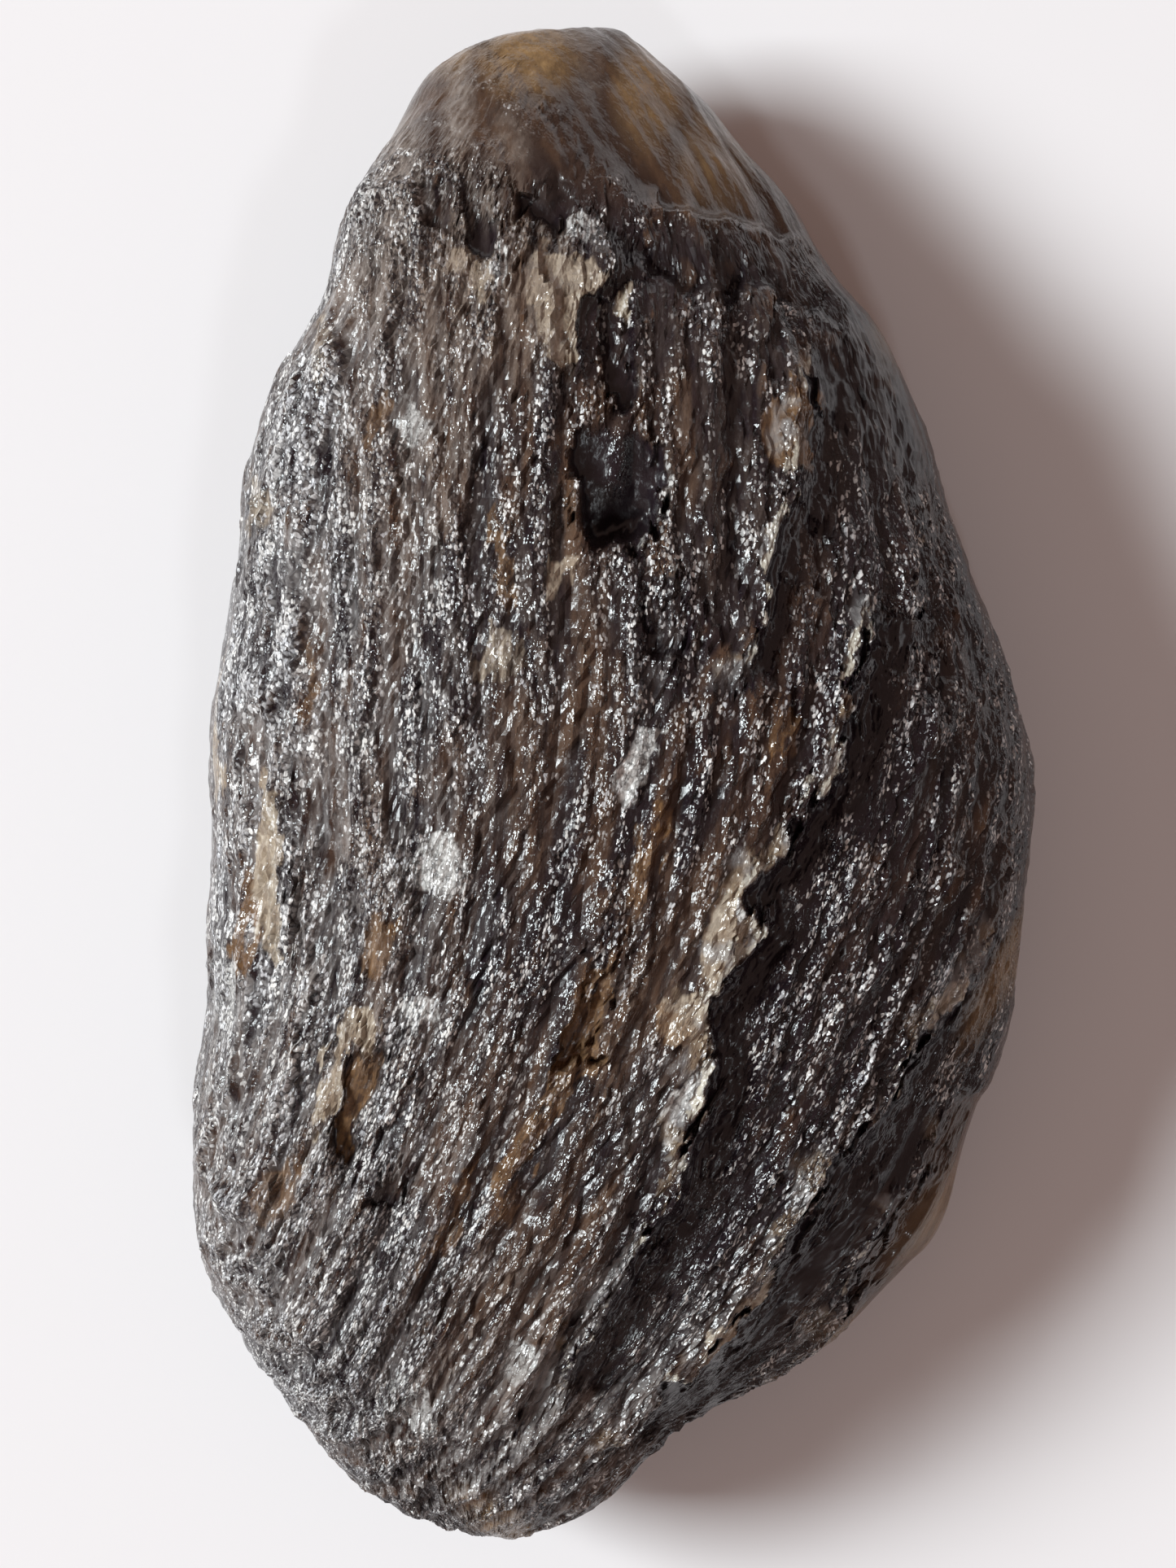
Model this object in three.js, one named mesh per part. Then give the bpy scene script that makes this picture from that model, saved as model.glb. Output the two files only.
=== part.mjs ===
// A natural piece of glass, 42 mm long, lying on its flatter side. Its upper face is sculpted into flakes
// and ledges that follow the grain of the glass.
// Millimetres, +Z up. The long way is along Y, with the narrow, chipped end at +Y.
import * as THREE from 'three';
import { mergeVertices } from 'three/addons/utils/BufferGeometryUtils.js';

// ---- Driving sizes ----

const RINGS = 54; // sections from the upper tip to the lower tip
const TOP_COLUMNS = 60; // facets across the upper face
const UNDER_COLUMNS = 24; // facets across the underside
const REST_LEVEL = 0; // height of the worn patch that the stone rests on
const WALL = 0.3; // half the width of a ledge's wall
const RIM_FADE = 1.3; // the relief dies out over this distance from the rim
const PULL_REACH = 1.0; // vertices closer to a ledge than this are drawn towards it
const PULL = 0.6; // the share of the way that they are drawn, on the ledge itself
const EVENNESS = 0.35; // 0 spaces the columns by angle around a ring, 1 by width across it

// ---- Rails ----
// Four curves run from tip to tip, and every ring of the surface passes through all four.
// Each point is [x, y, z].

const UPPER_TIP = [-0.5, 21.0, 5.0];
const LOWER_TIP = [-3.2, -21.0, 5.3];

const LEFT_RAIL = [
  UPPER_TIP, [-1.4, 20.75, 5.1], [-3.1, 20.8, 5.3], [-4.2, 20.3, 5.6], [-5.3, 19.5, 5.8], [-5.8, 18.6, 6.0],
  [-6.6, 17.2, 6.2], [-7.4, 16.0, 6.3], [-7.8, 14.9, 6.3], [-8.05, 13.3, 6.3], [-8.5, 12.45, 6.2],
  [-9.05, 11.8, 6.1], [-9.7, 10.4, 6.0], [-10.25, 8.2, 6.0], [-10.5, 6.0, 5.9], [-10.85, 3.8, 5.7],
  [-11.3, 1.3, 5.6], [-11.15, -1.9, 5.6], [-11.4, -4.2, 5.6], [-11.3, -6.4, 5.6], [-11.7, -8.8, 5.6],
  [-11.65, -12.1, 5.6], [-11.3, -13.8, 5.6], [-10.3, -15.6, 5.5], [-9.4, -16.7, 5.4], [-8.0, -18.5, 5.3],
  [-6.9, -19.5, 5.3], [-5.3, -20.2, 5.3], [-4.2, -20.6, 5.3], LOWER_TIP,
];

const RIGHT_RAIL = [
  UPPER_TIP, [0.5, 20.8, 5.0], [0.95, 20.2, 5.0], [1.7, 19.6, 5.0], [2.5, 19.0, 4.9], [3.5, 17.6, 4.9],
  [4.75, 16.35, 4.8], [5.5, 15.0, 4.8], [6.3, 13.8, 4.8], [7.5, 12.4, 4.8], [8.4, 10.45, 4.8],
  [8.9, 9.2, 4.7], [9.35, 7.3, 4.7], [10.35, 4.8, 4.6], [11.15, 2.5, 4.5], [11.7, 0.3, 4.4],
  [11.6, -2.0, 4.3], [11.25, -5.4, 4.0], [11.05, -7.1, 3.8], [10.1, -9.3, 3.6], [9.65, -10.8, 3.5],
  [9.1, -12.7, 3.4], [7.9, -14.0, 3.4], [6.7, -15.3, 3.5], [5.8, -16.05, 3.7], [4.4, -16.7, 4.0],
  [1.75, -17.8, 4.5], [0.6, -18.85, 4.8], [0.0, -19.6, 4.9], [-1.2, -20.35, 5.1], [-2.4, -20.85, 5.2],
  LOWER_TIP,
];

const CROWN_RAIL = [
  UPPER_TIP, [-0.8, 20.7, 6.4], [-1.2, 19.6, 8.2], [-1.5, 17.2, 10.2], [-1.5, 14.0, 12.1], [-1.3, 9.0, 13.6],
  [-1.5, 2.0, 14.3], [-2.2, -5.0, 14.2], [-2.9, -11.0, 13.2], [-3.5, -16.0, 11.5], [-3.6, -19.0, 9.6],
  [-3.4, -20.6, 7.4], LOWER_TIP,
];

const KEEL_RAIL = [
  UPPER_TIP, [-0.4, 20.6, 3.5], [-0.7, 18.6, 2.1], [-1.2, 13.5, 0.7], [-1.7, 7.0, -0.1], [-2.1, -2.0, -0.3],
  [-2.6, -10.0, -0.1], [-3.1, -16.6, 1.1], [-3.2, -19.8, 2.6], [-3.2, -20.8, 4.0], LOWER_TIP,
];

// How full each quarter of a ring is: 1 is an ellipse, and less is squarer.
const LEFT_SHOULDER = 0.86;
const RIGHT_SHOULDER = 0.94;
const UNDER_SHOULDER = 0.88;

// ---- Ledges, along the grain ----
// A ledge is the broken edge of a layer. Its path is [y, x] from its upper end down, and the surface on its
// right side is lower by drop, rising back to the dome over reach.

const SHELF_EDGE = { // above the smooth shelf at the lower right
  path: [[-8.6, 9.3], [-9.6, 9.1], [-10.3, 8.6], [-12.0, 7.75], [-14.1, 6.5], [-15.6, 5.65], [-16.6, 5.0]],
  drop: 1.3, lip: 0.15, reach: 3.5,
};

const LEDGES = [
  SHELF_EDGE,
  { // the main ledge, down the middle of the right half
    path: [
      [4.5, 7.05], [3.4, 6.6], [2.1, 6.1], [0.7, 5.9], [-0.5, 5.3], [-1.9, 4.3], [-2.8, 3.75], [-3.9, 3.8],
      [-4.8, 3.1], [-6.0, 2.45], [-7.4, 2.4], [-8.4, 2.55], [-9.6, 2.0], [-11.0, 1.8], [-13.0, 0.6],
      [-15.0, -0.6], [-16.5, -1.4],
    ],
    drop: 1.15, lip: 0.3, reach: 1.1,
  },
  { // the spine above it
    path: [[11.6, 5.2], [10.7, 5.5], [9.9, 5.45], [7.3, 4.6], [5.0, 4.1], [2.7, 3.4]],
    drop: 0.65, lip: 0.25, reach: 1.0,
  },
  { // the long ledge nearer the right rim
    path: [
      [-2.0, 10.95], [-3.8, 10.75], [-5.0, 9.9], [-6.6, 8.7], [-7.7, 7.75], [-8.7, 7.5], [-9.8, 6.6],
      [-11.0, 5.45], [-12.2, 5.2], [-13.9, 3.8], [-15.5, 2.8], [-16.7, 1.6], [-18.2, -0.6],
    ],
    drop: 1.0, lip: 0.2, reach: 1.3,
  },
  { // the tan plate near the shoulder
    path: [[14.4, 0.0], [13.1, -0.2], [12.7, -0.9], [11.7, -1.1], [10.4, -1.3]],
    drop: 0.55, lip: 0.05, reach: 1.2,
  },
  { // a short ledge in the middle
    path: [[5.8, 2.2], [4.6, 1.75], [3.6, 1.65], [2.0, 1.1]],
    drop: 0.4, lip: 0.15, reach: 0.8,
  },
  { // a crest beside the upper end of the main ledge
    path: [[7.6, 8.5], [5.9, 8.2], [4.0, 8.0], [2.6, 7.8]],
    drop: 0.45, lip: 0.2, reach: 0.9,
  },
  { // a low ledge on the left
    path: [[0.9, -8.5], [-1.1, -8.65], [-2.7, -8.5], [-5.2, -8.9]],
    drop: 0.35, lip: 0.1, reach: 1.0,
  },
];
const LEDGE_END = 1.4; // a ledge dies out over this distance at each end

// ---- Steps, across the grain ----
// The surface on the upper side of a step is lower by drop. Its path is [x, y] from left to right.

const CHIP_EDGE = { // around the smooth chip at the upper right
  path: [[-3.4, 20.2], [-2.6, 19.0], [-0.8, 17.2], [0.5, 15.9], [2.6, 15.3], [5.4, 15.0]],
  drop: 0.6, reach: 6.0,
};

const STEPS = [
  CHIP_EDGE,
  { // the scalloped shoulder, where the flaky body begins
    path: [
      [-6.6, 13.8], [-5.2, 14.5], [-3.8, 15.0], [-2.2, 14.6], [-0.6, 14.9], [0.4, 14.2], [1.6, 13.2],
      [2.8, 13.1], [4.1, 13.2], [5.8, 12.4],
    ],
    drop: 0.75, reach: 2.4,
  },
];

// ---- Pits ----
// Each lies along the grain: across and along are its half sizes.

const PITS = [
  { x: -0.2, y: 7.2, across: 0.95, along: 1.6, depth: 1.7 }, // the deep one
  { x: 0.0, y: 10.9, across: 0.4, along: 2.1, depth: 0.6 }, // the channel above it
  { x: -6.9, y: -8.7, across: 0.55, along: 1.8, depth: 1.0 }, // the slot at the lower left
  { x: -6.2, y: -10.6, across: 0.5, along: 0.5, depth: 0.6 }, // its lower end
  { x: -0.7, y: -5.9, across: 0.5, along: 2.0, depth: 0.7 }, // the trough in the middle
  { x: -1.8, y: 15.7, across: 0.7, along: 0.9, depth: 0.9 }, // two hollows by the shoulder
  { x: -4.3, y: 15.3, across: 0.6, along: 0.6, depth: 0.5 },
  { x: 3.2, y: 14.1, across: 1.6, along: 0.7, depth: 0.35 }, // the smooth dip under the chip
];

// ---- Grain ----

const SWING_START = 3.7; // below this y, at x = 0, the grain swings to the lower left
const SWING_SLANT = 0.5; // the swing starts this much higher for each mm to the right
const SWING = 0.022; // how fast it swings
// Ribs follow the grain. Each set wanders by a share of its period, over a length along the grain.
const RIBS = [
  { period: 2.7, rise: 0.22, wander: 0.35, length: 5.2 },
  { period: 1.55, rise: 0.14, wander: 0.3, length: 3.4 },
];

// ---- Small helpers ----

function smooth(from, to, value) {
  const t = THREE.MathUtils.clamp((value - from) / (to - from), 0, 1);
  return t * t * (3 - 2 * t);
}

// The value at a place along a path of [place, value] pairs, whose places run up or down.
function along(path, place) {
  const rising = path[path.length - 1][0] > path[0][0];
  const points = rising ? path : [...path].reverse();
  const after = points.findIndex((point) => point[0] > place);
  if (after === 0) return points[0][1];
  if (after < 0) return points[points.length - 1][1];
  const [from, to] = [points[after - 1], points[after]];
  return THREE.MathUtils.mapLinear(place, from[0], to[0], from[1], to[1]);
}

// 1 between the two ends of a path, dying out beyond its end distance.
function within(path, place, end) {
  const [low, high] = [path[0][0], path[path.length - 1][0]].sort((a, b) => a - b);
  return smooth(low - end / 2, low + end / 2, place) * (1 - smooth(high - end / 2, high + end / 2, place));
}

// The grain line that a point lies on, named by its x at the upper end.
function grainLine(x, y) {
  const below = Math.max(0, SWING_START + SWING_SLANT * x - y);
  return x + SWING * below * below;
}

// The lean of the grain at a point: how far it moves left for each mm down.
function grainLean(x, y) {
  return 2 * SWING * Math.max(0, SWING_START + SWING_SLANT * x - y);
}

// A tilted wave: a slow rise and a quick fall to the right.
function tiltedWave(turns) {
  const t = turns - Math.floor(turns);
  return t < 0.72 ? t / 0.72 : (1 - t) / 0.28;
}

// ---- Relief ----

// Signed distance from a ledge, on its right side when positive, and how present the ledge is there.
function fromLedge(ledge, x, y) {
  const slope = along(ledge.path, y + 0.5) - along(ledge.path, y - 0.5);
  return {
    distance: (x - along(ledge.path, y)) / Math.hypot(1, slope),
    presence: within(ledge.path, y, LEDGE_END),
  };
}

function ledgeRelief(x, y) {
  let height = 0;
  for (const ledge of LEDGES) {
    const { distance, presence } = fromLedge(ledge, x, y);
    const low = smooth(-WALL, WALL, distance);
    const hollow = ledge.drop * Math.exp(-Math.max(0, distance) / ledge.reach);
    const lip = ledge.lip * Math.exp(-Math.abs(distance));
    height += presence * ((1 - low) * lip - low * hollow);
  }
  return height;
}

function stepRelief(x, y) {
  let height = 0;
  for (const step of STEPS) {
    const distance = y - along(step.path, x);
    const low = smooth(-WALL, WALL, distance);
    const hollow = step.drop * Math.exp(-Math.max(0, distance) / step.reach);
    height -= within(step.path, x, LEDGE_END) * low * hollow;
  }
  return height;
}

function pitRelief(x, y) {
  let height = 0;
  for (const pit of PITS) {
    const lean = grainLean(pit.x, pit.y);
    const [dx, dy] = [x - pit.x, y - pit.y];
    const across = (dx - lean * dy) / Math.hypot(1, lean);
    const down = (dy + lean * dx) / Math.hypot(1, lean);
    const reach = Math.hypot(across / pit.across, down / pit.along);
    height -= pit.depth * (1 - smooth(0.45, 1.25, reach));
  }
  return height;
}

// 1 on the flaky skin, 0 on the smooth chip and on the smooth shelf.
function flakiness(x, y) {
  const onChip = smooth(-0.3, 0.3, y - along(CHIP_EDGE.path, x)) * smooth(-3.8, -2.6, x);
  const onShelf = smooth(0, 0.4, x - along(SHELF_EDGE.path, y)) * within(SHELF_EDGE.path, y, LEDGE_END);
  return (1 - onChip) * (1 - onShelf);
}

function ribRelief(x, y) {
  const line = grainLine(x, y);
  let height = 0;
  RIBS.forEach(({ period, rise, wander, length }, i) => {
    const turns = y / length;
    const drift = wander * (Math.sin(turns + 1.7 * i + 0.9 * line) + Math.sin(2.3 * turns + i));
    const swell = 0.65 + 0.35 * Math.sin(0.77 * turns + 2.1 * line + 3 * i);
    height += rise * swell * (tiltedWave(line / period + drift) - 0.5);
  });
  return height * flakiness(x, y);
}

function relief(x, y) {
  return ledgeRelief(x, y) + stepRelief(x, y) + pitRelief(x, y) + ribRelief(x, y);
}

// Draws a vertex towards the ledges near it, so that their walls are narrow.
function drawnToLedges(x, y, strength) {
  let shift = 0;
  for (const ledge of LEDGES) {
    const { distance, presence } = fromLedge(ledge, x, y);
    const nearness = Math.max(0, 1 - Math.abs(distance) / PULL_REACH);
    shift -= PULL * presence * strength * distance * nearness;
  }
  return x + shift;
}

// ---- Surface ----

function rail(points) {
  return new THREE.CatmullRomCurve3(points.map((p) => new THREE.Vector3(...p)), false, 'catmullrom', 0.5);
}

// A point on the quarter of a ring between the rim and the crown or keel, at an angle from the rim.
function quarter(centre, rim, peak, angle, shoulder) {
  const out = Math.cos(angle) ** shoulder;
  const up = Math.sin(angle) ** shoulder;
  return centre.clone()
    .addScaledVector(rim.clone().sub(centre), out)
    .addScaledVector(peak.clone().sub(centre), up);
}

// The turn around a ring at column i of count: even in angle near the rims and in width at the middle.
function turnAt(i, count) {
  const t = i / count;
  return Math.acos(THREE.MathUtils.lerp(Math.cos(Math.PI * t), 1 - 2 * t, EVENNESS));
}

function ringPoints(left, right, crown, keel) {
  const points = [];
  const foot = new THREE.Vector3(crown.x, (left.y + right.y) / 2, (left.z + right.z) / 2);
  for (let i = 0; i < TOP_COLUMNS; i += 1) {
    const turn = turnAt(i, TOP_COLUMNS);
    const onLeft = turn < Math.PI / 2;
    const angle = onLeft ? turn : Math.PI - turn;
    const shoulder = onLeft ? LEFT_SHOULDER : RIGHT_SHOULDER;
    const point = quarter(foot, onLeft ? left : right, crown, angle, shoulder);
    const inset = Math.min(point.x - left.x, right.x - point.x);
    const strength = smooth(0, RIM_FADE, inset);
    point.x = drawnToLedges(point.x, point.y, strength);
    point.z += strength * relief(point.x, point.y);
    points.push(point);
  }
  const base = new THREE.Vector3(keel.x, foot.y, foot.z);
  for (let i = 0; i < UNDER_COLUMNS; i += 1) {
    const turn = turnAt(i, UNDER_COLUMNS);
    const onRight = turn < Math.PI / 2;
    const angle = onRight ? turn : Math.PI - turn;
    const point = quarter(base, onRight ? right : left, keel, angle, UNDER_SHOULDER);
    const strength = smooth(0, RIM_FADE, Math.min(point.x - left.x, right.x - point.x));
    point.z = Math.max(point.z - strength * ribRelief(point.x, point.y), REST_LEVEL);
    points.push(point);
  }
  return points;
}

function stoneGeometry() {
  const [left, right, crown, keel] = [LEFT_RAIL, RIGHT_RAIL, CROWN_RAIL, KEEL_RAIL].map(rail);
  const columns = TOP_COLUMNS + UNDER_COLUMNS;
  const vertices = [new THREE.Vector3(...UPPER_TIP)];
  for (let ring = 1; ring < RINGS; ring += 1) {
    const [l, r, c, k] = [left, right, crown, keel].map((curve) => curve.getPointAt(ring / RINGS));
    vertices.push(...ringPoints(l, r, c, k));
  }
  vertices.push(new THREE.Vector3(...LOWER_TIP));

  const at = (ring, column) => 1 + (ring - 1) * columns + (column % columns);
  const last = vertices.length - 1;
  const faces = [];
  for (let column = 0; column < columns; column += 1) {
    faces.push(0, at(1, column), at(1, column + 1));
    for (let ring = 1; ring < RINGS - 1; ring += 1) {
      const [a, b] = [at(ring, column), at(ring, column + 1)];
      const [c, d] = [at(ring + 1, column), at(ring + 1, column + 1)];
      faces.push(a, c, b, b, c, d);
    }
    faces.push(last, at(RINGS - 1, column + 1), at(RINGS - 1, column));
  }
  const geometry = new THREE.BufferGeometry().setFromPoints(vertices);
  geometry.setIndex(faces);
  return mergeVertices(geometry);
}

// Puts the origin under the middle of the stone, on the surface that it rests on.
function centred(geometry) {
  geometry.computeBoundingBox();
  const { min, max } = geometry.boundingBox;
  geometry.translate(-(min.x + max.x) / 2, -(min.y + max.y) / 2, -min.z);
  geometry.computeVertexNormals();
  return geometry;
}

// ---- Scene graph ----

const smokyGlass = new THREE.MeshStandardMaterial({ color: 0x3b332f, roughness: 0.35, metalness: 0 });

const stone = new THREE.Mesh(centred(stoneGeometry()), smokyGlass);
stone.name = 'stone';

const moldavite = new THREE.Group();
moldavite.add(stone);

export default moldavite;
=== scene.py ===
# %% [markdown]
# # A flaky piece of smoky natural glass
#
# The thing to make is one stone, as long as a thumb. It is glass right through, nearly black where it is
# thick and brown where light gets through an edge. Its upper skin is broken into thin layers that lie one
# over the other like bark, and etched into thousands of tiny facets that glint.
#
# A solid of the stone already stands in the frame with its real size, its big ledges, its pits and its
# chip. This file gives it its skin: it reads the solid, works finer forms into a copy with numpy, and
# mixes a smoky glass and a frosted skin over it.

import math
from itertools import product

import bpy
import numpy as np
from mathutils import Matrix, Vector


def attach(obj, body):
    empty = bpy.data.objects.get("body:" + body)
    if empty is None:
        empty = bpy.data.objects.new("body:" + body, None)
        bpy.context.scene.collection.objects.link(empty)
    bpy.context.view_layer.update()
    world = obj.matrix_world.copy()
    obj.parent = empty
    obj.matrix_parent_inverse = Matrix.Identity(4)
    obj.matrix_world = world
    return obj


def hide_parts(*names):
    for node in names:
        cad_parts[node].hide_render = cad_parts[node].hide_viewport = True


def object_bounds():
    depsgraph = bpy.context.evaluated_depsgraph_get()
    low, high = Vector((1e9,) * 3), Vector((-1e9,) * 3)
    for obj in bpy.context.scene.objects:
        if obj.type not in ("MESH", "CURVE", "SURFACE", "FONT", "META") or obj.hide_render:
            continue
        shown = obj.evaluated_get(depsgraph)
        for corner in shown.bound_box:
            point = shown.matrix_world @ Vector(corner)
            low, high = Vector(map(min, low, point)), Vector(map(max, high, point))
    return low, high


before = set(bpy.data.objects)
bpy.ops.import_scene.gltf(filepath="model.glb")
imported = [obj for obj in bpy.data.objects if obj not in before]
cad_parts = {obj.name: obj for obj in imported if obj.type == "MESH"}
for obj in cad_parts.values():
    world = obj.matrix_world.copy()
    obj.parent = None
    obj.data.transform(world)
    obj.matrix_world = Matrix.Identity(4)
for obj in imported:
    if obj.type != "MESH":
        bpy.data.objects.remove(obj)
cad_box = [[float(value) for value in corner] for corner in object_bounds()]
MM = 0.001
print("box in mm", [[round(value / MM, 2) for value in corner] for corner in cad_box])

# %% [markdown]
# ## Reading the solid
#
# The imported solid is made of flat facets, and each facet has corners of its own. To work on it as a skin,
# the corners that share a place are merged, so that each one has neighbours. A plain pair of numpy arrays,
# points and triangles, is easier to bend with formulas than a Blender mesh, and far quicker.

# %% Points and triangles of the solid
def solid_of(node):
    """The merged corners of a node, in mm, and its triangles."""
    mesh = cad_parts[node].data
    mesh.calc_loop_triangles()
    corners = np.empty(len(mesh.vertices) * 3, np.float32)
    mesh.vertices.foreach_get("co", corners)
    triangles = np.empty(len(mesh.loop_triangles) * 3, np.int32)
    mesh.loop_triangles.foreach_get("vertices", triangles)
    places = np.round(corners.reshape(-1, 3).astype(float) / MM, 4)
    merged, where = np.unique(places, axis=0, return_inverse=True)
    return merged, where.reshape(-1)[triangles].reshape(-1, 3)


solid_points, solid_faces = solid_of("stone")
print(len(solid_points), "corners,", len(solid_faces), "triangles")

# %% Normals and neighbours
def normals_of(points, faces):
    """The outward direction at each point, from the triangles round it."""
    a, b, c = (points[faces[:, i]] for i in range(3))
    across = np.cross(b - a, c - a)
    total = np.stack(
        [sum(np.bincount(faces[:, i], across[:, k], len(points)) for i in range(3)) for k in range(3)],
        axis=1,
    )
    return total / np.maximum(np.linalg.norm(total, axis=1, keepdims=True), 1e-12)


def sides_of(faces):
    """Each side of the triangles once, and for each triangle the numbers of its three sides."""
    pairs = np.concatenate([faces[:, [0, 1]], faces[:, [1, 2]], faces[:, [2, 0]]])
    sides, which = np.unique(np.sort(pairs, axis=1), axis=0, return_inverse=True)
    return sides, which.reshape(3, -1)


def relaxed(values, sides, rounds, pull=0.5):
    """The values, each drawn towards the mean of its neighbours, some rounds over."""
    values = np.array(values, float)
    flat = values.reshape(len(values), -1)
    count = np.bincount(sides.reshape(-1), minlength=len(flat))
    for _ in range(rounds):
        for k in range(flat.shape[1]):
            column = flat[:, k]
            near = np.bincount(sides[:, 0], column[sides[:, 1]], len(flat))
            near += np.bincount(sides[:, 1], column[sides[:, 0]], len(flat))
            flat[:, k] = column + pull * (near / count - column)
    return flat.reshape(values.shape)


# %% [markdown]
# ## The big forms again, as formulas
#
# The solid holds its ledges, steps and pits with facets half a millimetre wide. To sharpen them, the same
# forms are needed as formulas: taking the soft form away leaves the plain dome of the stone, and adding a
# sharp form to the dome gives a broken edge. Lengths here are in mm, with Y along the stone.

# %% Ledges, steps and pits
SHELF_EDGE = {
    "path": [
        (-8.6, 9.3), (-9.6, 9.1), (-10.3, 8.6), (-12.0, 7.75), (-14.1, 6.5), (-15.6, 5.65), (-16.6, 5.0),
    ],
    "drop": 1.3, "lip": 0.15, "reach": 3.5,
}
LEDGES = [  # paths are (y, x), with the low side at larger x
    SHELF_EDGE,
    {  # the main ledge
        "path": [
            (4.5, 7.05), (3.4, 6.6), (2.1, 6.1), (0.7, 5.9), (-0.5, 5.3), (-1.9, 4.3), (-2.8, 3.75),
            (-3.9, 3.8), (-4.8, 3.1), (-6.0, 2.45), (-7.4, 2.4), (-8.4, 2.55), (-9.6, 2.0), (-11.0, 1.8),
            (-13.0, 0.6), (-15.0, -0.6), (-16.5, -1.4),
        ],
        "drop": 1.15, "lip": 0.3, "reach": 1.1,
    },
    {  # the spine above it
        "path": [(11.6, 5.2), (10.7, 5.5), (9.9, 5.45), (7.3, 4.6), (5.0, 4.1), (2.7, 3.4)],
        "drop": 0.65, "lip": 0.25, "reach": 1.0,
    },
    {  # the long ledge by the right rim
        "path": [
            (-2.0, 10.95), (-3.8, 10.75), (-5.0, 9.9), (-6.6, 8.7), (-7.7, 7.75), (-8.7, 7.5), (-9.8, 6.6),
            (-11.0, 5.45), (-12.2, 5.2), (-13.9, 3.8), (-15.5, 2.8), (-16.7, 1.6), (-18.2, -0.6),
        ],
        "drop": 1.0, "lip": 0.2, "reach": 1.3,
    },
    {  # the tan plate by the shoulder
        "path": [(14.4, 0.0), (13.1, -0.2), (12.7, -0.9), (11.7, -1.1), (10.4, -1.3)],
        "drop": 0.55, "lip": 0.05, "reach": 1.2,
    },
    {"path": [(5.8, 2.2), (4.6, 1.75), (3.6, 1.65), (2.0, 1.1)], "drop": 0.4, "lip": 0.15, "reach": 0.8},
    {"path": [(7.6, 8.5), (5.9, 8.2), (4.0, 8.0), (2.6, 7.8)], "drop": 0.45, "lip": 0.2, "reach": 0.9},
    {
        "path": [(0.9, -8.5), (-1.1, -8.65), (-2.7, -8.5), (-5.2, -8.9)],
        "drop": 0.35, "lip": 0.1, "reach": 1.0,
    },
]
LEDGE_END = 1.4  # the length over which a form fades at each end

CHIP_EDGE = {  # the paths of the steps are (x, y), with the low side at larger y
    "path": [(-3.4, 20.2), (-2.6, 19.0), (-0.8, 17.2), (0.5, 15.9), (2.6, 15.3), (5.4, 15.0)],
    "drop": 0.6, "reach": 6.0,
}
SHOULDER = {
    "path": [
        (-6.6, 13.8), (-5.2, 14.5), (-3.8, 15.0), (-2.2, 14.6), (-0.6, 14.9), (0.4, 14.2), (1.6, 13.2),
        (2.8, 13.1), (4.1, 13.2), (5.8, 12.4),
    ],
    "drop": 0.75, "reach": 2.4,
}

PITS = [  # x, y, half width across the grain, half length along it, depth
    (-0.2, 7.2, 0.95, 1.6, 1.7),
    (0.0, 10.9, 0.4, 2.1, 0.6),
    (-6.9, -8.7, 0.55, 1.8, 1.0),
    (-6.2, -10.6, 0.5, 0.5, 0.6),
    (-0.7, -5.9, 0.5, 2.0, 0.7),
    (-1.8, 15.7, 0.7, 0.9, 0.9),
    (-4.3, 15.3, 0.6, 0.6, 0.5),
    (3.2, 14.1, 1.6, 0.7, 0.35),
]
PIT_BRINK = 0.45, 1.25  # shares of a pit's size: full depth up to the first, none from the second
RIM_FADE = 1.3  # the relief fades out over this distance from the rim
SOLID_WALL = 0.3  # half the width of a ledge's wall in the solid
print(len(LEDGES), "ledges,", len(PITS), "pits")

# %% [markdown]
# ### The grain
#
# The grain of the glass runs straight down the stone at first and then swings to the lower left. Every
# form on the skin follows it, so it gets a name of its own: the grain line through a point is the x where
# that line starts at the top. The solid was made from these same formulas, so they are written as plain
# functions of x and y that can be asked for any point.

# %% Small formulas
SWING_START, SWING_SLANT, SWING = 3.7, 0.5, 0.022
SLOW_RISE, QUICK_FALL = 0.72, 0.28  # the shares of a tilted wave


def smooth(low, high, value):
    """0 up to low, 1 from high, and a soft ramp between."""
    t = np.clip((value - low) / (high - low), 0, 1)
    return t * t * (3 - 2 * t)


def along(path, place):
    """The value of a path at a place."""
    places, values = np.array(sorted(path)).T
    return np.interp(place, places, values)


def within(path, place):
    """1 between the ends of a path, fading to 0 at both."""
    low, high = min(path)[0], max(path)[0]
    half = LEDGE_END / 2
    return smooth(low - half, low + half, place) * (1 - smooth(high - half, high + half, place))


def grain_line(x, y):
    """The x where the grain line through a point starts."""
    below = np.maximum(0, SWING_START + SWING_SLANT * x - y)
    return x + SWING * below**2


def grain_lean(x, y):
    """How much the grain leans at a point, as x over y."""
    return 2 * SWING * np.maximum(0, SWING_START + SWING_SLANT * x - y)


def tilted_wave(turns):
    """A slow rise and a quick fall, from 0 to 1."""
    t = turns - np.floor(turns)
    return np.where(t < SLOW_RISE, t / SLOW_RISE, (1 - t) / QUICK_FALL)


print("the grain leans by", round(float(grain_lean(0, -20)), 2), "near the lower tip")

# %% The relief of the solid
def from_ledge(ledge, x, y):
    """Distance past a ledge, on its low side where positive, and how present the ledge is."""
    path = ledge["path"]
    slope = along(path, y + 0.5) - along(path, y - 0.5)
    return (x - along(path, y)) / np.hypot(1, slope), within(path, y)


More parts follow.
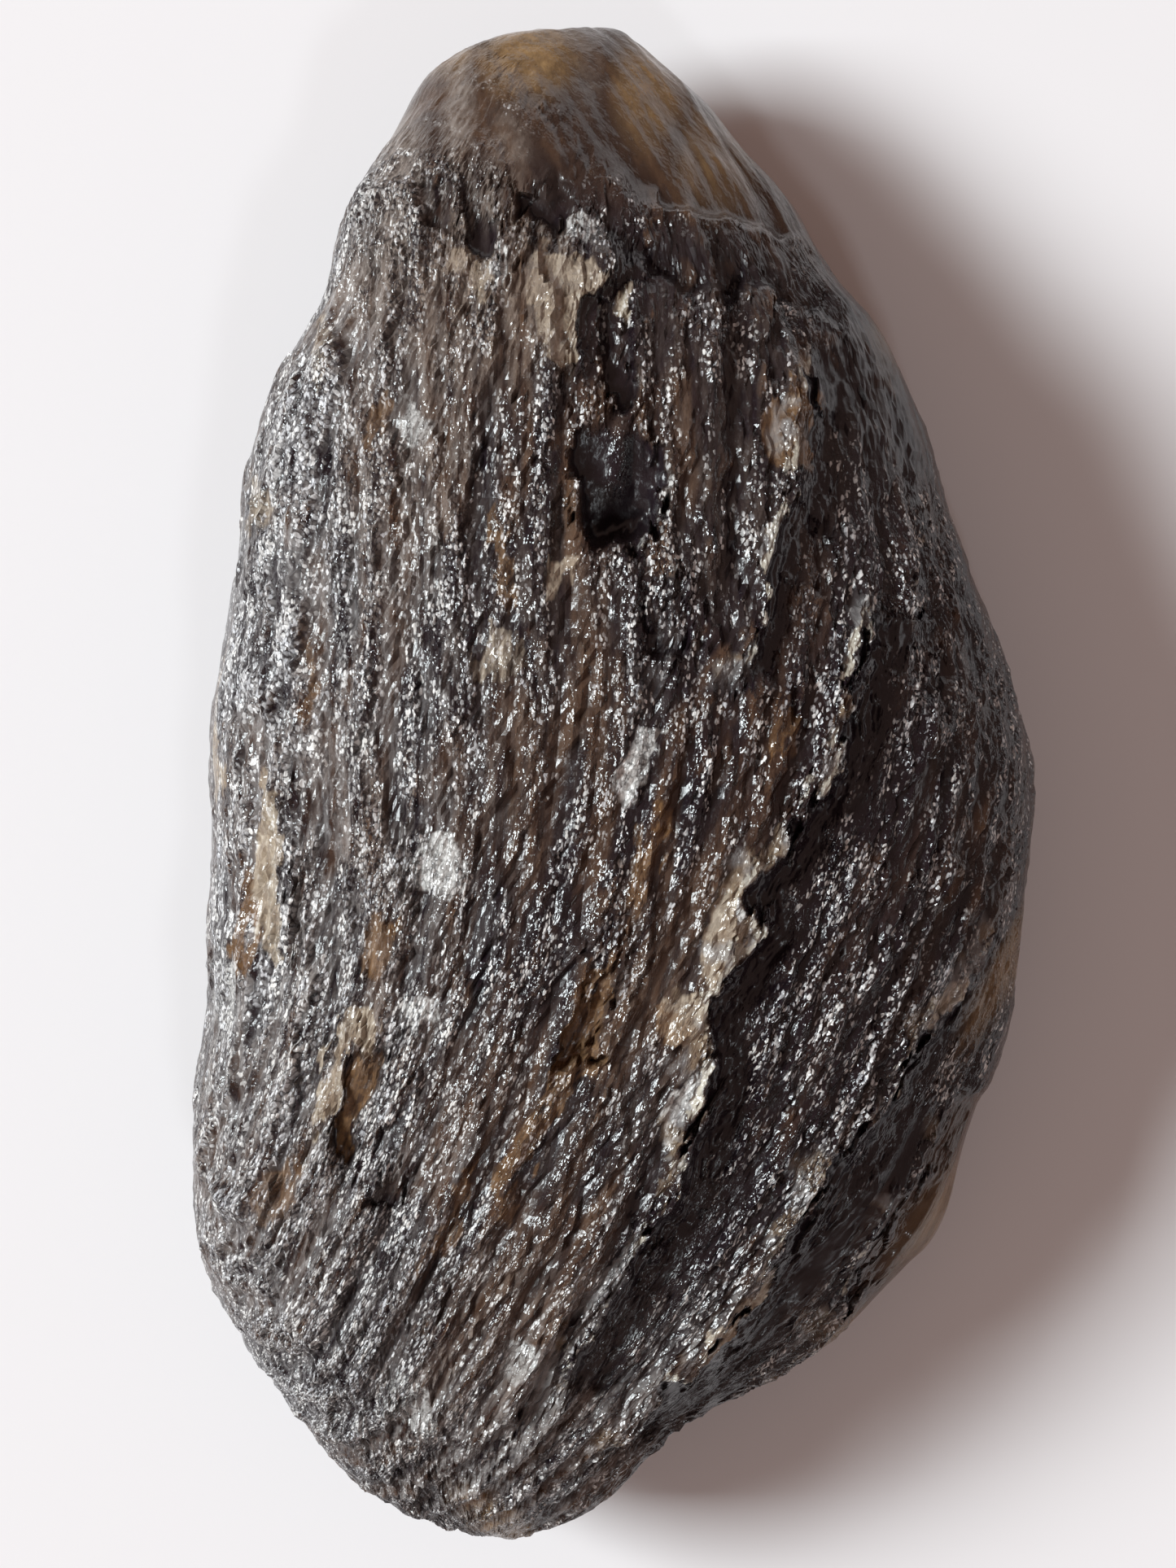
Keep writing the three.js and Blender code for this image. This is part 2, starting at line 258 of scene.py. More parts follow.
def ledge_relief(x, y, wall):
    height = np.zeros_like(x)
    for ledge in LEDGES:
        distance, presence = from_ledge(ledge, x, y)
        low = smooth(-wall, wall, distance)
        hollow = ledge["drop"] * np.exp(-np.maximum(0, distance) / ledge["reach"])
        lip = ledge["lip"] * np.exp(-np.abs(distance))
        height += presence * ((1 - low) * lip - low * hollow)
    return height


def step_relief(x, y, wall):
    height = np.zeros_like(x)
    for step in (CHIP_EDGE, SHOULDER):
        distance = y - along(step["path"], x)
        hollow = step["drop"] * np.exp(-np.maximum(0, distance) / step["reach"])
        height -= within(step["path"], x) * smooth(-wall, wall, distance) * hollow
    return height


def pit_relief(x, y):
    height = np.zeros_like(x)
    for pit_x, pit_y, half_width, half_length, depth in PITS:
        lean = grain_lean(pit_x, pit_y)
        across = (x - pit_x - lean * (y - pit_y)) / np.hypot(1, lean)
        down = (y - pit_y + lean * (x - pit_x)) / np.hypot(1, lean)
        height -= depth * (1 - smooth(*PIT_BRINK, np.hypot(across / half_width, down / half_length)))
    return height


def flakiness(x, y):
    """1 on the flaky skin, 0 on the smooth chip and the smooth shelf."""
    on_chip = smooth(-0.3, 0.3, y - along(CHIP_EDGE["path"], x)) * smooth(-3.8, -2.6, x)
    on_shelf = smooth(0, 0.4, x - along(SHELF_EDGE["path"], y)) * within(SHELF_EDGE["path"], y)
    return (1 - on_chip) * (1 - on_shelf)


RIBS = [(2.7, 0.22, 0.35, 5.2), (1.55, 0.14, 0.3, 3.4)]  # width, rise, wander, length


def rib_relief(x, y):
    line = grain_line(x, y)
    height = np.zeros_like(x)
    for i, (period, rise, wander, length) in enumerate(RIBS):
        turns = y / length
        drift = wander * (np.sin(turns + 1.7 * i + 0.9 * line) + np.sin(2.3 * turns + i))
        swell = 0.65 + 0.35 * np.sin(0.77 * turns + 2.1 * line + 3 * i)
        height += rise * swell * (tilted_wave(line / period + drift) - 0.5)
    return height * flakiness(x, y)


def solid_relief(x, y):
    edges = ledge_relief(x, y, SOLID_WALL) + step_relief(x, y, SOLID_WALL)
    return edges + pit_relief(x, y) + rib_relief(x, y)


print("relief in the middle:", round(float(solid_relief(np.zeros(1), np.zeros(1))[0]), 2), "mm")

# %% [markdown]
# ## From facets to a plain dome
#
# The relief dies out towards the rim of the stone, so the rim has to be known. It is read from the solid:
# the outermost corners in narrow bands of Y. Taking the relief away from each corner leaves the dome. Its
# triangles are then split into four, those that show a second time too, and relaxed, which rounds the
# facets off. A subdivision modifier would split them all alike.

# %% The dome
BAND = 0.8
REST_HEIGHT = 0.02  # mm: corners below this height belong to the flat resting patch


def rim_of(points):
    """The leftmost and the rightmost x in each band of y."""
    edges = np.arange(points[:, 1].min(), points[:, 1].max() + BAND, BAND)
    band = np.digitize(points[:, 1], edges)
    used = np.unique(band)
    middle = np.array([points[band == k, 1].mean() for k in used])
    left = np.array([points[band == k, 0].min() for k in used])
    right = np.array([points[band == k, 0].max() for k in used])
    return middle, left, right


rim_y, rim_left, rim_right = rim_of(solid_points)


def inset_of(x, y):
    """How far inside the rim a point lies."""
    return np.minimum(x - np.interp(y, rim_y, rim_left), np.interp(y, rim_y, rim_right) - x)


x, y, z = solid_points.T
solid_normals = normals_of(solid_points, solid_faces)
faces_up = solid_normals[:, 2] > 0
presence = smooth(0, RIM_FADE, inset_of(x, y))
lift = presence * np.where(faces_up, solid_relief(x, y), -rib_relief(x, y))
lift[(z < REST_HEIGHT) & ~faces_up] = 0
dome_points = solid_points.copy()
dome_points[:, 2] -= lift
print("relief taken off, mm:", round(float(lift.min()), 2), "to", round(float(lift.max()), 2))

# %% Split and relax
BELLY = -0.5  # triangles that face further down than this are split only once
DOME_ROUNDS = 8


def split(points, faces, chosen):
    """Each chosen triangle becomes four, and its neighbours are cut to match."""
    sides, which = sides_of(faces)
    cut = np.zeros(len(sides), bool)
    cut[which[:, chosen]] = True
    middle = np.cumsum(cut) - 1 + len(points)
    cuts = cut[which].sum(axis=0)
    made = [faces[cuts == 0]]
    for turn in range(3):
        a, b, c = np.roll(faces, -turn, axis=1).T
        ab, bc, ca = np.roll(which, -turn, axis=0)
        one = (cuts == 1) & cut[ab]
        two = (cuts == 2) & ~cut[ca]
        all_three = cuts == 3
        m, n, k = middle[ab], middle[bc], middle[ca]
        for there, corners in [
            (one, (a, m, c)), (one, (m, b, c)),
            (two, (a, m, c)), (two, (m, b, n)), (two, (m, n, c)),
            (all_three, (a, m, k)),
        ]:
            made.append(np.stack(corners, axis=1)[there])
    inner = middle[which[:, cuts == 3]].T
    middles = points[sides[cut]].mean(axis=1)
    return np.concatenate([points, middles]), np.concatenate([*made, inner])


points, faces = split(dome_points, solid_faces, np.ones(len(solid_faces), bool))
shown = normals_of(points, faces)[faces, 2].mean(axis=1) > BELLY
points, faces = split(points, faces, shown)
sides, _ = sides_of(faces)
points = relaxed(points, sides, DOME_ROUNDS)
print(len(points), "corners,", len(faces), "triangles after splitting")

# %% [markdown]
# ## A broken skin
#
# The skin of this glass breaks into thin plates that lie along the grain, each a little higher, lower or
# more tilted than the next. A smooth noise would give soft waves, which look like wax. So the plane is cut
# into cells instead: each point belongs to the nearest of some scattered seeds, and each cell has numbers
# of its own. Where two cells meet there is a step. Everything comes from one seeded grid of random
# numbers, so that each run makes the same stone.

# %% Random numbers on a grid
GRID = 256
random_grid = np.random.default_rng(41).random((GRID, GRID))


def drawn(i, j, seed):
    """A number from 0 to 1 that belongs to the grid square i, j."""
    return random_grid[(i + 53 * seed) % GRID, (j + 29 * seed) % GRID]


def noise(u, v, seed=0):
    """Smooth noise from 0 to 1, with about one bump to each unit of u and v."""
    i, j = np.floor(u).astype(int), np.floor(v).astype(int)
    s, t = smooth(0, 1, u - i), smooth(0, 1, v - j)
    near = drawn(i, j, seed) * (1 - s) + drawn(i + 1, j, seed) * s
    far = drawn(i, j + 1, seed) * (1 - s) + drawn(i + 1, j + 1, seed) * s
    return near * (1 - t) + far * t


def cells(u, v, w, seed):
    """The random number of each point's cell, and how far the point lies from its seed in u and v."""
    i, j, k = (np.floor(value).astype(int) for value in (u, v, w))
    nearest = np.full(u.shape, np.inf)
    number, from_seed_u, from_seed_v = np.zeros((3, *u.shape))
    for step_i, step_j, step_k in product((-1, 0, 1), repeat=3):
        square = i + step_i, j + step_j + 17 * (k + step_k)
        du = u - i - step_i - drawn(*square, seed)
        dv = v - j - step_j - drawn(*square, seed + 1)
        dw = w - k - step_k - drawn(*square, seed + 2)
        closer = du**2 + dv**2 + dw**2 < nearest
        nearest = np.where(closer, du**2 + dv**2 + dw**2, nearest)
        number = np.where(closer, drawn(*square, seed + 3), number)
        from_seed_u, from_seed_v = np.where(closer, du, from_seed_u), np.where(closer, dv, from_seed_v)
    return number, from_seed_u, from_seed_v


# %% [markdown]
# ### Edges that are notched
#
# An edge drawn by a formula is a clean curve. A broken edge of this glass runs straight for half a
# millimetre, jumps to the next splinter and runs on. Each ledge could be drawn with more points, but
# bending the whole plane before a formula reads it does this to every edge at once. Each splinter of the
# grain gets a shift of its own, and noise of two sizes roughens what is left.

# %% Bend the plane
NOTCH_WIDTH, NOTCH_LENGTH, NOTCH_SHIFT = 0.55, 0.9, 0.45


def bent(x, y):
    """A place with small random shifts, so that an edge that follows it is notched."""
    across = grain_line(x, y) / NOTCH_WIDTH + 0.6 * noise(x / 0.5, y / 0.5, 1)
    notch, _, _ = cells(across, y / NOTCH_LENGTH, 0 * x, 2)
    wander = 0.5 * (noise(x / 1.3, y / 1.5, 3) - 0.5) + 0.14 * (noise(x / 0.22, y / 0.28, 4) - 0.5)
    bent_x = x + NOTCH_SHIFT * (notch - 0.5) + wander
    bent_y = y + 0.8 * (noise(x / 0.5, y / 0.6, 5) - 0.5) + 0.3 * (noise(x / 0.2, y / 0.25, 6) - 0.5)
    return bent_x, bent_y


shift = bent(*points.T[:2])[0] - points[:, 0]
print("edges wander by up to", round(float(np.abs(shift).max()), 2), "mm")

# %% [markdown]
# ### Slots
#
# Where a splinter has dropped out of the skin it leaves a slot with square ends, deeper at one end than at
# the other. The solid has these as round pits, which its facets can hold. Here they get their straight
# walls: a distance made of fourth powers is a rounded square, where one made of squares would be an oval.

# %% Slots in the skin
SLOTS = [  # x, y, half width across the grain, half length along it, depth
    (-0.05, 8.15, 1.0, 2.15, 1.9), (0.0, 11.6, 0.35, 2.0, 0.7), (-6.9, -8.3, 0.5, 1.7, 1.0),
    (-6.1, -10.7, 0.35, 0.6, 0.6), (-0.7, -5.9, 0.4, 1.9, 0.6), (-1.9, 15.5, 0.55, 0.9, 0.8),
    (-3.5, 15.2, 0.5, 1.0, 0.7), (-4.7, 15.7, 0.45, 0.9, 0.6), (3.1, 13.9, 0.6, 0.9, 0.4),
    (1.3, 4.2, 0.5, 1.1, 0.5), (-8.4, -3.4, 0.2, 1.0, 0.25),
]


def turned(place, x, y):
    """Across and along the grain from a place, as shares of its half width and half length."""
    middle_x, middle_y, half_width, half_length = place[:4]
    lean = grain_lean(middle_x, middle_y)
    across = (x - middle_x - lean * (y - middle_y)) / np.hypot(1, lean) / half_width
    down = (y - middle_y + lean * (x - middle_x)) / np.hypot(1, lean) / half_length
    return across, down


def squarely(across, down):
    """A distance that is 1 all round a square with rounded corners."""
    return (across**4 + down**4) ** 0.25


def slot_relief(x, y):
    height = np.zeros_like(x)
    for slot in SLOTS:
        across, down = turned(slot, x, y)
        floor_slope = 0.5 - 0.5 * np.clip(down, -1, 1)
        height -= slot[4] * floor_slope * (1 - smooth(0.75, 1.1, squarely(across, down)))
    return height


print(len(SLOTS), "slots, the deepest", max(slot[4] for slot in SLOTS), "mm")

# %% [markdown]
# ### More triangles at the edges
#
# An edge needs more triangles than a plain stretch, or its wall is one row of tall slivers. Splitting the
# whole skin again would cost four times the triangles. So only those that lie close to an edge are split
# once more, before anything is moved.

# %% Split along the edges
SHARP_WALL, EDGE_BAND = 0.10, 0.5
LOW_DROP, BARELY = 0.4, 0.15  # lower ledges, and the faint ends of ledges, stay as they are
x, y, z = points.T
bent_x, bent_y = bent(x, y)
near_edge = np.zeros(len(x), bool)
for ledge in LEDGES:
    distance, there = from_ledge(ledge, bent_x, bent_y)
    near_edge |= (np.abs(distance - 0.1) < EDGE_BAND) & (there > BARELY) & (ledge["drop"] > LOW_DROP)
for step in (CHIP_EDGE, SHOULDER):
    distance = bent_y - along(step["path"], bent_x)
    near_edge |= (np.abs(distance) < EDGE_BAND) & (within(step["path"], x) > BARELY)
for slot in SLOTS:
    near_edge |= np.abs(squarely(*turned(slot, bent_x, bent_y)) - 0.95) < 0.25
near_edge &= (normals_of(points, faces)[:, 2] > 0) & (inset_of(x, y) > 0.3)
points, faces = split(points, faces, near_edge[faces].any(axis=1))
sides, _ = sides_of(faces)
dome_normals = normals_of(points, faces)
print(len(points), "corners,", len(faces), "triangles with the edges split")

# %% [markdown]
# ### A map of the skin
#
# Each place on the skin gets three numbers: across the grain, along it, and how deep it lies on the side of
# the stone. The first two are enough on top. On the sides they hardly change on the way down, so patterns
# that used only them would be drawn out into threads. The strand adds the first and the last, and so runs
# on round the sides.

# %% Map the skin
TOP_ABOVE = 11  # mm: skin above this has no depth
x, y, z = points.T
line, run, depth = grain_line(x, y), y, np.maximum(0, TOP_ABOVE - z)
strand = line + depth
up = dome_normals[:, 2] > 0
upper = smooth(-0.45, 0.15, dome_normals[:, 2])
from_tips = np.minimum(y.max() - y, y - y.min())
presence = smooth(0, RIM_FADE, inset_of(x, y)) * smooth(0.2, 1.8, from_tips)
print("lowest place on the sides:", round(float(depth.max()), 1), "mm deep")

# %% [markdown]
# ### Sharp ledges
#
# A ledge of this glass isn't one clean wall. It goes down in three thin layers that end one after another,
# so the ledge formula is added three times, each with a share of the drop and a little further out. The
# steps of the chip and the shoulder are worn on their left part, so their walls are wider there.

# %% The big forms
TERRACES = [(0.5, 0.0, 60), (0.3, 0.26, 63), (0.2, 0.6, 66)]  # share of the drop, how far out, seed
STEP_WALL, STEP_WEAR = 0.2, 1.2
bent_x, bent_y = bent(x, y)
slots = slot_relief(bent_x, bent_y)
big = slots.copy()
for share, shift, seed in TERRACES:
    stray = 0.4 * (cells(line / 0.5, run / 0.8, 0 * x, seed)[0] - 0.5)
    big += share * ledge_relief(bent_x - shift * (1 + stray), bent_y, SHARP_WALL)
half_bent_x, half_bent_y = x + 0.5 * (bent_x - x), y + 0.5 * (bent_y - y)
big += step_relief(half_bent_x, half_bent_y, STEP_WALL + STEP_WEAR * (1 - smooth(-1.5, 1.5, x)))
print("big forms, mm:", round(float(big.min()), 2), "to", round(float(big.max()), 2))

# %% [markdown]
# ### Dark, smoother stretches
#
# Round the shoulder and in the long valleys the glass has lost its flakes, and lies dull. It is darker
# there too, which round the shoulder is its own colour and in the valleys is painted shade. Painting a mask
# by hand would work too, but a list of ovals is short, easy to change and the same in each run. An oval
# lies along the grain and fades out from its middle. Such lists also place each colour below.

# %% Dark stretches
OVAL, SOFT_OVAL = (0.85, 1.1), (0.3, 1.3)  # where a patch begins to fade and where it ends
DARK = [  # x, y, half width across the grain, half length along it, strength
    (-1.9, 16.2, 1.4, 1.3, 1.0), (-0.4, 17.6, 0.9, 1.2, 0.7), (2.8, 14.0, 3.0, 1.7, 1.0),
    (7.6, 11.8, 3.4, 5.6, 1.0), (2.3, 9.5, 0.9, 2.4, 0.5), (9.6, 4.8, 1.0, 3.0, 0.6),
    (8.3, -11.2, 1.5, 4.0, 0.6), (4.2, 5.2, 0.8, 2.6, 0.5), (6.1, -12.5, 0.8, 4.8, 1.0),
]


def patched(patches, x, y, inner, outer):
    """How much of a colour there is at each place: all of it up to inner, none from outer."""
    most = np.zeros_like(x)
    for patch in patches:
        across, down = turned(patch, x, y)
        most = np.maximum(most, patch[4] * (1 - smooth(inner, outer, np.hypot(across, down))))
    return most * upper


dark = patched(DARK, x, y, *SOFT_OVAL)
print("dark share", round(float(dark.mean()), 2))

# %% [markdown]
# ### Flakes, lips and hollows
#
# The upper edge of a ledge is thin and frayed, so light gets through and it looks pale: that is its lip,
# its paleness painted light. The valley at its foot is smooth and painted black as shade. Both are bands
# along the ledge, so the distance from it gives them without any painting. A lip has to end before the
# wall starts, or the whole wall turns pale.

# %% Where the skin is flaky
BELLY_FLAKES, TIP_FLAKES = 0.8, 0.3
flaky = flakiness(bent_x, bent_y)
flaky *= 1 - 0.72 * smooth(14.6, 16.6, y + 0.25 * x)
under = BELLY_FLAKES - (BELLY_FLAKES - TIP_FLAKES) * smooth(15.5, 18.0, y)
flaky = upper * flaky + (1 - upper) * under
print("flaky share", round(float(flaky.mean()), 2))

# %% Lips and hollows
# Hollows, in the slots and at the feet of the ledges, are painted black as shade further on.
WALL_TOP, FULL_LIP = -0.13, 0.25
hollow = smooth(0.15, 0.6, -slots)
lip, lip_plate = np.zeros((2, len(x)))
lip_share = 0.25 + 0.75 * smooth(0.4, 0.65, noise(strand / 0.8, run / 1.1, 70))
wide, _, _ = cells(x / 1.1, y / 1.0, 0 * x, 8)
plate_width = 0.15 + 0.9 * smooth(0.35, 1.0, wide)
for ledge in LEDGES:
    distance, there = from_ledge(ledge, bent_x, bent_y)
    there = there * smooth(0.3, 0.6, ledge["drop"])
    paleness = np.clip(ledge["lip"] / FULL_LIP, 0, 1)
    above = there * (distance < WALL_TOP)
    lip = np.maximum(lip, above * smooth(-0.38, -0.26, distance) * lip_share * paleness)
    lip_plate = np.maximum(lip_plate, above * (distance > -plate_width) * paleness)
    far_side = smooth(0.55, 1.15, distance / (1.4 * ledge["drop"]))
    hollow = np.maximum(hollow, there * smooth(-0.15, -0.07, distance) * (1 - far_side))
lip, lip_plate, hollow = (band * presence * up for band in (lip, lip_plate, hollow))
broken = flaky * (1 - 0.85 * hollow) * (1 - 0.5 * dark)
print("lip share", round(float(lip.mean()), 3), "hollow share", round(float(hollow.mean()), 2))

# %% [markdown]
# ### Plates
#
# Four sizes of plate lie on each other. Each plate has a height and a tilt of its own, both from its
# number. The smallest ones are about as large as the mesh's triangles, and a little jitter on top of them
# gives every facet a direction of its own, so that some catch the light and most don't. Long ridges with
# one steep side run through all of them, and where the skin isn't flaky it has soft waves instead.

# %% Plates
PLATES = [(1.7, 5.0, 0.15), (0.75, 2.2, 0.17), (0.38, 1.0, 0.10), (0.2, 0.45, 0.05)]  # width, length, rise
FINE_PLATE = 0.5  # plates narrower than this are calmer at the rim
plates = np.zeros_like(x)
numbers = []
tooth, _, _ = cells(line / 0.22, run / 0.42, depth / 0.3, 5)
for i, (width, length, rise) in enumerate(PLATES):
    sway = 0.8 * noise(line / (1.3 * width), run / (0.5 * length), 20 + i) + 0.25 / width * (tooth - 0.5)
    place = line / width + sway, run / length + 0.4 * sway, depth / (1.6 * width)
    number, across, down = cells(*place, 10 + 5 * i)
    other = np.mod(number * 7.0, 1)
    calm = 0.4 + 0.6 * presence if width < FINE_PLATE else 1
    tilted = 0.8 * (number - 0.5) + (0.35 + 0.5 * other) * across + (other - 0.5) * 0.7 * down
    plates += calm * rise * tilted
    numbers.append(number)
print("plates, mm:", round(float(plates.min()), 2), "to", round(float(plates.max()), 2))

# %% Ridges, jitter and soft waves
RIDGES = [(2.2, 7.0, 0.30), (1.15, 3.5, 0.14)]  # width, length, rise
JITTER = 0.03
ridges = np.zeros_like(x)
for i, (width, length, rise) in enumerate(RIDGES):
    drift = 0.7 * noise(strand / (2 * width), run / length, 50 + i) + 0.12 / width * (tooth - 0.5)
    swell = smooth(0.2, 0.8, noise(strand / (1.5 * width), run / length, 55 + i))
    ridges += rise * (0.3 + 0.7 * swell) * (tilted_wave(strand / width + drift) - 0.5)
jitter = np.random.default_rng(7).uniform(-JITTER, JITTER, len(points))
plates = broken * (plates + ridges + jitter) * (0.45 + 0.55 * presence)
soft_waves = 0.14 * noise(strand / 0.9, run / 3.0, 31) + 0.07 * noise(strand / 0.35, run / 1.3, 32) - 0.1
calm_flank = 0.6 * smooth(4, 8, x) * smooth(2, 8, y)
soft_waves *= (1 - broken) * (1 - calm_flank)
print("with ridges, mm:", round(float(plates.min()), 2), "to", round(float(plates.max()), 2))

# %% [markdown]
# ### Put the forms on the dome
#
# The big forms are cut straight down, as in the solid. The fine ones push along the normal, so that they
# also stand off the sides. Near the resting patch they fade, to leave it flat. At the end the skin is
# stretched by a hair to fill the solid's box exactly.

# %% Move the corners
on_dome = points
points = on_dome.copy()
points[:, 2] += np.where(up, presence * big, 0)
off_the_floor = smooth(0.0, 0.5, points[:, 2])
points += dome_normals * ((plates + soft_waves) * off_the_floor)[:, None]
low, high = (np.array(corner) / MM for corner in cad_box)
points = low + (points - points.min(axis=0)) * (high - low) / (points.max(axis=0) - points.min(axis=0))
print("skin box, mm", points.min(axis=0).round(2), points.max(axis=0).round(2))

# %% [markdown]
# ## What the skin knows about itself
#
# The finish depends on where it is. Thin plates let light through and look tan or amber, crushed ones look
# white, edges are painted pale and bright where light comes through and catches them, and hollows are
# smooth and painted black as shade. Each of these is worked out once, for every corner, and kept on the
# mesh as a named number that the material can read.

# %% Patches of thin, coloured plates
TAN = [  # x, y, half width across the grain, half length along it, strength
    (-1.5, 12.7, 1.0, 1.7, 1.0), (-3.9, 13.6, 0.6, 1.0, 0.9), (-9.3, -2.3, 0.45, 2.6, 1.0),
    (-6.8, -6.6, 0.6, 0.7, 1.0), (-7.75, -8.0, 0.3, 1.6, 1.0), (2.9, -3.7, 0.5, 1.7, 0.9),
    (1.7, -6.2, 0.65, 0.6, 1.0), (3.4, -14.6, 0.5, 1.6, 0.9), (8.9, -5.9, 0.5, 0.9, 0.7),
    (-11.0, 1.8, 0.4, 2.6, 1.0), (7.0, 3.9, 0.3, 0.5, 1.0), (-1.6, 5.4, 0.5, 0.7, 0.8),
    (-3.2, 3.3, 0.6, 0.9, 0.6), (2.2, -16.5, 0.5, 1.2, 0.8), (-9.9, 8.0, 0.35, 1.6, 0.7),
    (0.2, 13.2, 0.3, 1.3, 0.8), (-7.9, 11.5, 0.4, 1.0, 0.6),
]
AMBER = [
    (4.8, 9.6, 0.75, 1.6, 0.9), (-0.9, -6.2, 0.42, 1.9, 0.9), (-10.0, -4.0, 0.25, 1.6, 0.9),
    (-6.1, -4.4, 0.4, 1.1, 0.9), (-1.8, -8.8, 0.35, 3.2, 0.8), (-6.95, -8.5, 0.42, 1.5, 1.0),
    (1.4, -6.3, 0.4, 0.5, 1.0), (-6.4, 9.3, 0.3, 0.9, 0.8), (-3.1, 6.0, 0.35, 1.4, 0.8),
    (-8.2, 2.6, 0.3, 1.6, 0.7), (-4.3, -11.5, 0.3, 1.6, 0.7), (0.9, -1.9, 0.3, 1.5, 0.7),
    (4.4, 1.3, 0.25, 1.0, 0.7), (-9.2, -11.0, 0.4, 1.4, 0.7),
]
PALE = [
    (-4.6, -1.9, 0.8, 1.0, 1.0), (-5.1, -6.3, 0.5, 0.7, 0.9), (-5.6, -16.8, 0.75, 0.9, 0.8),
    (0.6, 0.45, 0.4, 0.95, 0.8), (5.8, 0.8, 0.3, 0.6, 1.0), (3.6, -3.75, 0.3, 0.6, 1.0),
    (3.2, -9.1, 0.4, 0.6, 1.0), (8.2, -9.0, 0.3, 0.35, 1.0), (-0.9, 14.8, 0.45, 0.35, 1.0),
    (-3.3, 13.7, 0.25, 0.4, 1.0), (2.0, -8.2, 0.35, 1.6, 0.9), (-10.9, -6.5, 0.5, 2.6, 0.6),
    (0.3, 6.3, 0.7, 0.3, 0.8), (-2.6, -15.5, 0.5, 0.9, 0.6), (-5.4, 9.4, 0.5, 0.6, 0.6),
]
LOW_ON_THE_SIDE = 1.5, 5.0  # these patches fade over this depth
lower = smooth(*LOW_ON_THE_SIDE, depth)
# In the hollows most patches give way to the black of the glass, which is painted shade there.
tan, amber, pale = (
    patched(patches, bent_x, bent_y, *OVAL) * (1 - in_hollows * hollow) * (1 - lower)
    for patches, in_hollows in [(TAN, 0.9), (AMBER, 0.2), (PALE, 0.9)]
)
print("tan, amber and pale shares", [round(float(patch.mean()), 3) for patch in (tan, amber, pale)])

# %% Patches deep in the glass
OCHRE = [
    (-2.4, 20.0, 1.4, 1.6, 1.0), (0.9, 19.2, 1.0, 2.0, 0.9), (2.7, 17.0, 1.3, 1.8, 0.45),
    (9.7, -11.6, 1.0, 3.0, 0.7), (11.2, -4.5, 0.6, 4.0, 0.5), (-3.3, -20.2, 1.8, 0.7, 0.5),
    (-4.6, 20.0, 0.8, 0.8, 0.5), (6.4, -15.6, 0.7, 1.2, 0.5), (7.5, 13.5, 0.6, 2.5, 0.3),
]
MILKY = [
    (-6.0, 16.2, 0.9, 2.6, 1.0), (-4.3, 18.0, 0.5, 2.2, 0.8), (-0.8, 19.8, 0.5, 1.8, 0.4),
    (-2.9, 17.2, 0.6, 1.2, 0.5), (-7.2, 13.6, 0.6, 1.8, 0.6), (2.0, 16.6, 0.25, 1.3, 0.5),
]
WARM = [  # wide, faint stretches where brown glass lies between the glints
    (-3.8, 13.4, 3.6, 3.8, 1.0), (-5.6, 8.5, 2.6, 4.5, 0.5), (3.0, 9.0, 4.5, 6.5, 0.25),
    (-2.0, 3.5, 3.5, 6.0, 0.25), (-6.5, -4.0, 2.0, 6.0, 0.35), (0.5, -7.0, 3.0, 6.0, 0.3),
    (-3.0, -15.0, 4.0, 4.0, 0.4),
]
ochre, milky, warm = (patched(patches, x, y, *SOFT_OVAL) for patches in (OCHRE, MILKY, WARM))
print("ochre, milky and warm shares", [round(float(patch.mean()), 3) for patch in (ochre, milky, warm)])

# %% [markdown]
# ### Edges, crests and glitter
#
# A corner that stands above the mean of its neighbours is on an edge or a crest, and one that lies below
# it is in a groove. Relaxing the heights a few rounds gives the near neighbours' mean, and fifty rounds
# that of a wider ring. Crests get painted glints, and grooves are painted darker as shade. The left side
# faces the main light, so it gets the most painted glints and a painted silvery sheen over its frost.

# %% Edges and crests
height = np.einsum("ij,ij->i", points - on_dome, dome_normals)
fine_bulge = height - relaxed(height, sides, 5)
broad_bulge = height - relaxed(height, sides, 50)
edge = smooth(0.04, 0.11, fine_bulge) * broken
crest = smooth(-0.12, 0.10, broad_bulge)
warm *= broken * (0.5 + 0.5 * crest)
print("edge share", round(float(edge.mean()), 2), "crest share", round(float(crest.mean()), 2))

# %% Glitter, frost and brown
# The left side faces the main light. This ramp gives it more painted glints and more painted sheen.
lit_left_side = smooth(-1.0, -11.0, x)
coloured = np.maximum(tan, amber)
stripes = 0.65 * noise(strand / 0.5, run / 3.2, 41) + 0.35 * noise(strand / 0.25, run / 1.4, 42)
lively = smooth(0.38, 0.58, stripes + 0.02 + 0.20 * lit_left_side)
brown_field = smooth(0.45, 0.60, noise(strand / 0.9, run / 4.5, 44))
brown_field *= 1 - 0.65 * smooth(2.0, 6.0, x)
# Where glints are painted, and how densely. The same mask also sharpens the fine bump.
glitter = broken * (0.2 + 0.8 * crest) * (0.15 + 0.85 * lively)
glitter *= 0.44 + 0.58 * lit_left_side + 0.20 * smooth(2.5, 6.0, x)
glitter *= 1 - 0.6 * smooth(1.5, 6.0, depth)
glitter *= (1 - 0.9 * dark) * (1 - 0.75 * coloured) * (1 - 0.45 * brown_field)
# Frost with a painted sheen over it, strongest on the lit left side and towards the lower tip.
frost_and_sheen = np.maximum(lit_left_side, 0.7 * smooth(-12, -18, y)) * broken * (0.5 + 0.5 * crest)
frost_and_sheen = frost_and_sheen * (1 - coloured) * (1 - 0.85 * smooth(1.0, 5.0, depth))
brown_plates = smooth(0.72, 0.85, 0.6 * numbers[1] + 0.4 * numbers[2])
